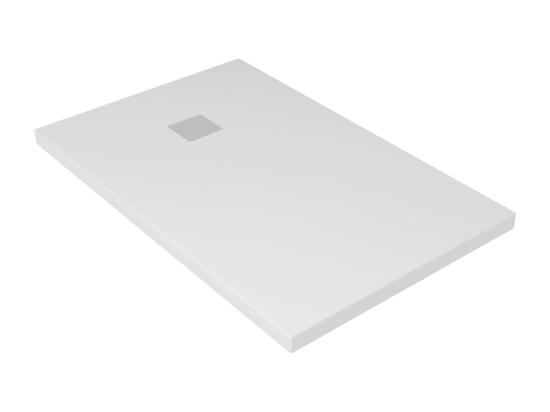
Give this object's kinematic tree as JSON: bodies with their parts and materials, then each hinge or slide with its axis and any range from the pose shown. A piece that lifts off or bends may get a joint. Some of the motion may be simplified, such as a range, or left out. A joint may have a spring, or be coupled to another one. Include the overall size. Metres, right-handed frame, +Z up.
{
  "type": "shower tray",
  "caption": "Low rectangular shower tray with a square lift-out drain cover near one end, a stiffened sandwich body, and a waste trap with a swivelling outlet pipe below.",
  "frame": {"origin": "centre of the tray's outline, on the flat underside that it is bedded on", "axes": "+X along the length, away from the drain end; +Y to the left as seen from the drain end; +Z up out of the tray's top"},
  "size_m": [1.2, 0.75, 0.132],
  "materials": {
    "white_acrylic": "smooth satin-gloss white",
    "core_foam": "rigid closed-cell foam",
    "board": "sealed wood-fibre board",
    "rail_aluminium": "mill finish extrusion",
    "key_alloy": "as-cast alloy",
    "screw_steel": "bright zinc",
    "gasket_rubber": "matt black rubber",
    "flange_steel": "pressed, fine satin",
    "trap_plastic": "moulded white polypropylene",
    "insert_plastic": "moulded grey polypropylene",
    "nut_brass": "knurled brass",
    "cover_steel": "fine satin grey",
    "carrier_plastic": "dark moulded plastic"
  },
  "bodies": {
    "tray": {"acrylic_shell": "white_acrylic", "foam_core": "core_foam", "base_board": "board", "rail_left_side": "rail_aluminium", "rail_right_side": "rail_aluminium", "rail_drain_end": "rail_aluminium", "rail_far_end": "rail_aluminium", "rail_corner_keys": "key_alloy", "board_screws": "screw_steel", "flange_gasket": "gasket_rubber", "clamp_flange": "flange_steel", "clamp_screws": "screw_steel", "trap_gasket": "gasket_rubber", "boss_nuts": "nut_brass", "trap_collar": "trap_plastic", "trap_body": "trap_plastic", "outlet_seal": "gasket_rubber", "union_nut": "trap_plastic"},
    "outlet": {"outlet_pipe": "trap_plastic"},
    "trap_insert": {"dip_tube": "insert_plastic", "dip_tube_ring": "gasket_rubber"},
    "strainer": {"hair_strainer": "flange_steel", "strainer_knob": "flange_steel"},
    "cover": {"cover_plate": "cover_steel", "cover_carrier": "carrier_plastic", "cover_pads": "gasket_rubber"}
  },
  "joints": [
    {"name": "outlet_swing", "type": "hinge", "parent": "tray", "child": "outlet", "pos_m": [-0.39, 0, -0.025], "axis": [0, 0, 1], "range_deg": [-12, 12]},
    {"name": "cover_lift", "type": "slide", "parent": "tray", "child": "cover", "axis": [0, 0, 1], "range_m": [0, 0.3]},
    {"name": "strainer_lift", "type": "slide", "parent": "tray", "child": "strainer", "axis": [0, 0, 1], "range_m": [0, 0.21]},
    {"name": "insert_lift", "type": "slide", "parent": "tray", "child": "trap_insert", "axis": [0, 0, 1], "range_m": [0, 0.135]}
  ],
  "couplings": [
    {"joint": "strainer_lift", "follows": "cover_lift", "ratio": 0.7},
    {"joint": "insert_lift", "follows": "cover_lift", "ratio": 0.45}
  ]
}
